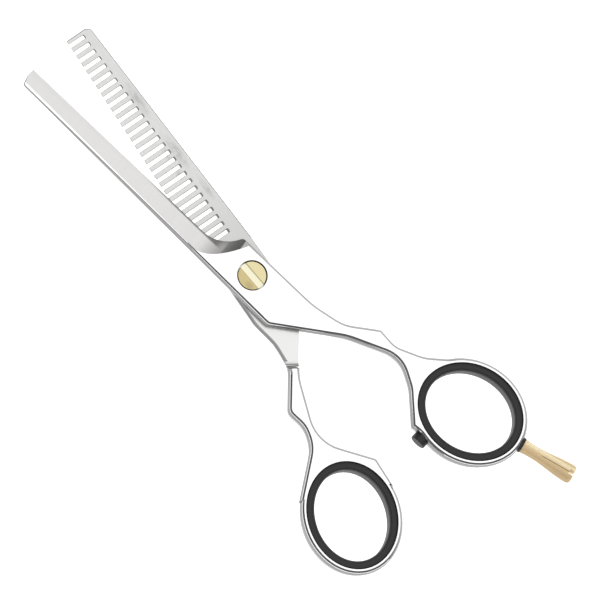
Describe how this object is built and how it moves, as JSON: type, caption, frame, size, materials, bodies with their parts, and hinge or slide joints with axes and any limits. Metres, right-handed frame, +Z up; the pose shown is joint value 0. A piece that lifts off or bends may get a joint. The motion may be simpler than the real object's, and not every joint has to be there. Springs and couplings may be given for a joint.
{
  "type": "thinning shears",
  "caption": "Hairdresser's thinning shears: toothed and plain steel halves on a slotted pivot screw, black ring inserts, a bumper and a screw-in finger rest.",
  "frame": {"origin": "on the pivot axis, in the plane that the shears rest on", "axes": "+X along the closed blades towards the tips; +Z up, out of the plain half's outer face; the plain half stands turned open about +Z"},
  "size_m": [0.1458, 0.0611, 0.0044],
  "materials": {
    "toothed_steel": "polished, with a satin grind on the blade",
    "plain_steel": "polished, with a satin grind on the blade",
    "screw_brass": "polished",
    "washer_steel": "satin",
    "bush_plastic": "plain",
    "insert_black": "soft matt",
    "bumper_black": "soft matt",
    "rest_brass": "polished",
    "rest_washer_black": "matt"
  },
  "bodies": {
    "toothed_half": {"toothed_blade_half": "toothed_steel", "thumb_ring_insert": "insert_black"},
    "plain_half": {"plain_blade_half": "plain_steel", "finger_ring_insert": "insert_black", "closing_bumper": "bumper_black", "pivot_washer": "washer_steel", "pivot_bush": "bush_plastic"},
    "pivot_screw": {"pivot_screw": "screw_brass"},
    "finger_rest_washer": {"finger_rest_washer": "rest_washer_black"},
    "finger_rest": {"finger_rest": "rest_brass"}
  },
  "joints": [
    {"name": "main_pivot", "type": "hinge", "parent": "toothed_half", "child": "plain_half", "pos_m": [0, 0, 0], "axis": [0, 0, 1], "range_deg": [-11, 110]},
    {"name": "screw_turn", "type": "hinge", "parent": "toothed_half", "child": "pivot_screw", "pos_m": [0, 0, 0], "axis": [0, 0, 1], "range_deg": [-45, 45]},
    {"name": "rest_travel", "type": "slide", "parent": "plain_half", "child": "finger_rest_washer", "axis": [-0.91, -0.4147, 0], "range_m": [0, 0.00045]},
    {"name": "rest_turn", "type": "hinge", "parent": "finger_rest_washer", "child": "finger_rest", "pos_m": [-0.06509, -0.02852, 0.0022], "axis": [-0.91, -0.4147, 0], "range_deg": [0, 360]}
  ],
  "couplings": [
    {"joint": "rest_turn", "follows": "rest_travel", "rad_per_m": 13963}
  ]
}
